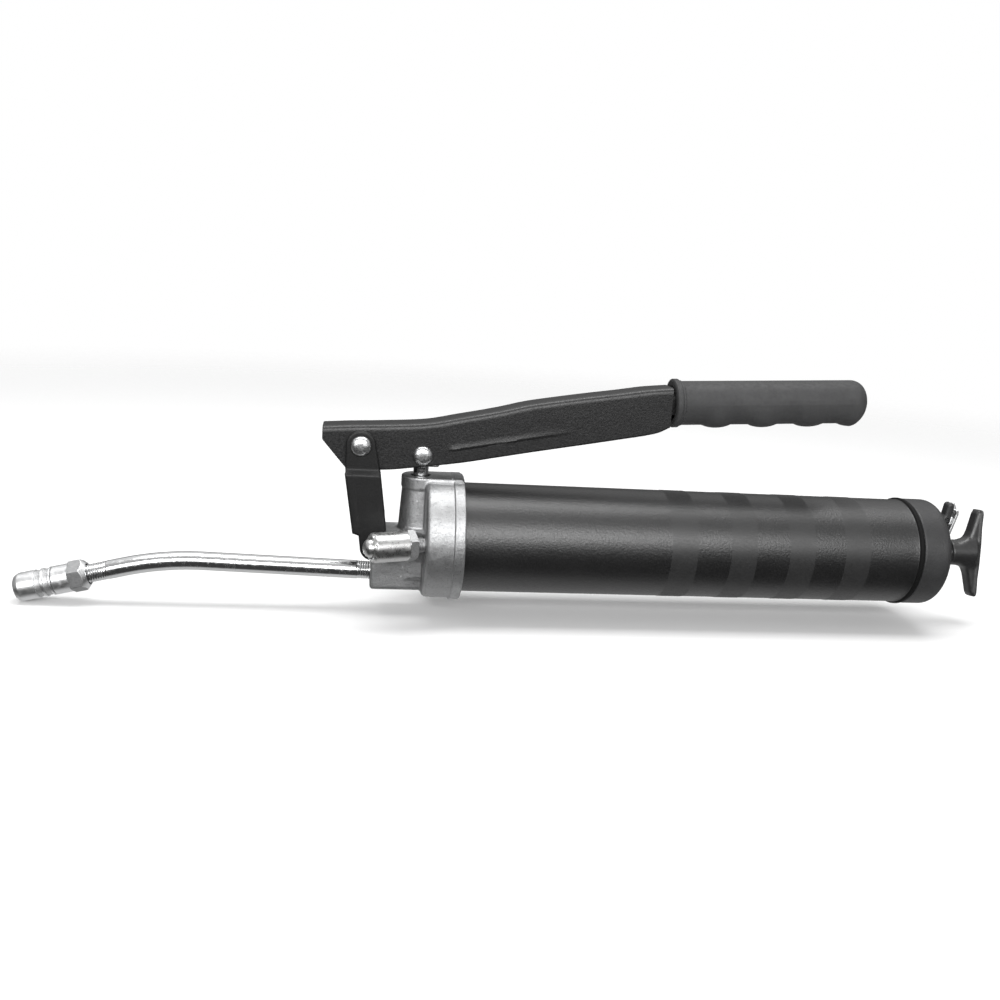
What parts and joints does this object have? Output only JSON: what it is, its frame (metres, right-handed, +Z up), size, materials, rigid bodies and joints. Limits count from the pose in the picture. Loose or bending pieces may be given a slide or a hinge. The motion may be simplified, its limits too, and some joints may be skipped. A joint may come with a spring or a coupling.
{
  "type": "grease gun",
  "caption": "Lever-action grease gun: cast pump head on a long steel barrel, gripped lever, bent delivery pipe with coupler, and a sprung follower with a T-shaped pull handle.",
  "frame": {"origin": "centre of the bottom of the bounding box; the barrel axis runs 3.8 mm to its +Y side, because the bleeder valve reaches further out on the -Y side; the coupler's nose is the lowest point", "axes": "+X along the barrel axis from the coupler towards the pull handle, +Z up towards the lever, +Y to the side away from the bleeder valve"},
  "size_m": [0.5178, 0.0732, 0.1337],
  "materials": {
    "cast_head": "as-cast satin",
    "barrel_coat": "textured black powder coat",
    "lever_paint": "black satin paint",
    "link_paint": "matte black paint",
    "grip_rubber": "matte dark grey",
    "seal_rubber": "matte black",
    "bright_zinc": "bright plated",
    "bright_nickel": "bright nickel plated",
    "zinc_plate": "zinc plated satin",
    "ground_steel": "ground bright",
    "spring_steel": "drawn wire",
    "handle_plastic": "black moulded, satin",
    "nylon": "natural"
  },
  "bodies": {
    "body": {"head_casting": "cast_head", "plunger_seal": "seal_rubber", "outlet_ball": "ground_steel", "outlet_spring": "spring_steel", "pivot_pin": "zinc_plate", "delivery_pipe": "bright_zinc", "coupler_body": "bright_zinc", "coupler_sleeve": "bright_zinc", "coupler_spring": "spring_steel", "bleeder_body": "bright_nickel", "bleeder_spring": "spring_steel", "barrel": "barrel_coat", "barrel_gasket": "seal_rubber", "rear_cap": "barrel_coat", "rod_bushing": "nylon", "latch_pin": "ground_steel", "follower_spring": "spring_steel"},
    "link": {"link": "link_paint", "link_rivet": "zinc_plate"},
    "lever": {"lever": "lever_paint", "lever_grip": "grip_rubber", "cross_pin": "zinc_plate"},
    "plunger": {"plunger": "ground_steel"},
    "follower": {"follower_cup": "seal_rubber", "follower_plate": "zinc_plate"},
    "handle": {"follower_rod": "ground_steel", "rod_nut": "zinc_plate", "t_handle": "handle_plastic"},
    "latch": {"latch_plate": "zinc_plate"},
    "jaws": {"coupler_jaw_1": "ground_steel", "coupler_jaw_2": "ground_steel", "coupler_jaw_3": "ground_steel", "coupler_seal": "seal_rubber"},
    "button": {"bleeder_button": "bright_nickel"}
  },
  "joints": [
    {"name": "link_swing", "type": "hinge", "parent": "body", "child": "link", "pos_m": [-0.08195, 0.00384, 0.03656], "axis": [0, 1, 0], "range_deg": [0, 6.82]},
    {"name": "lever_swing", "type": "hinge", "parent": "link", "child": "lever", "pos_m": [-0.08995, 0.00384, 0.08836], "axis": [0, -1, 0], "range_deg": [0, 51.5]},
    {"name": "plunger_slide", "type": "slide", "parent": "body", "child": "plunger", "axis": [0, 0, 1], "range_m": [0, 0.0236]},
    {"name": "rod_slide", "type": "slide", "parent": "body", "child": "follower", "axis": [1, 0, 0], "range_m": [0, 0.18], "stiffness_N_per_m": 60, "springref_m": -0.08, "deforming": ["follower_spring"]},
    {"name": "handle_turn", "type": "hinge", "parent": "follower", "child": "handle", "pos_m": [-0.03695, 0.00384, 0.04046], "axis": [1, 0, 0], "continuous": true},
    {"name": "latch_swing", "type": "hinge", "parent": "body", "child": "latch", "pos_m": [0.23545, 0.00384, 0.05896], "axis": [0, -1, 0], "range_deg": [0, 5], "stiffness_Nm_per_rad": 0.1, "springref_deg": -5.73},
    {"name": "jaws_slide", "type": "slide", "parent": "body", "child": "jaws", "axis": [0.9715, 0, 0.2368], "range_m": [0, 0.0012], "stiffness_N_per_m": 2500, "springref_m": -0.002, "deforming": ["coupler_spring"]},
    {"name": "button_press", "type": "slide", "parent": "body", "child": "button", "axis": [0.9511, 0.309, 0], "range_m": [0, 0.0014], "stiffness_N_per_m": 800, "springref_m": -0.002, "deforming": ["bleeder_spring"]}
  ],
  "couplings": [
    {"joint": "link_swing", "follows": "lever_swing", "ratio": 0.132},
    {"joint": "plunger_slide", "follows": "lever_swing", "m_per_rad": 0.02615}
  ]
}
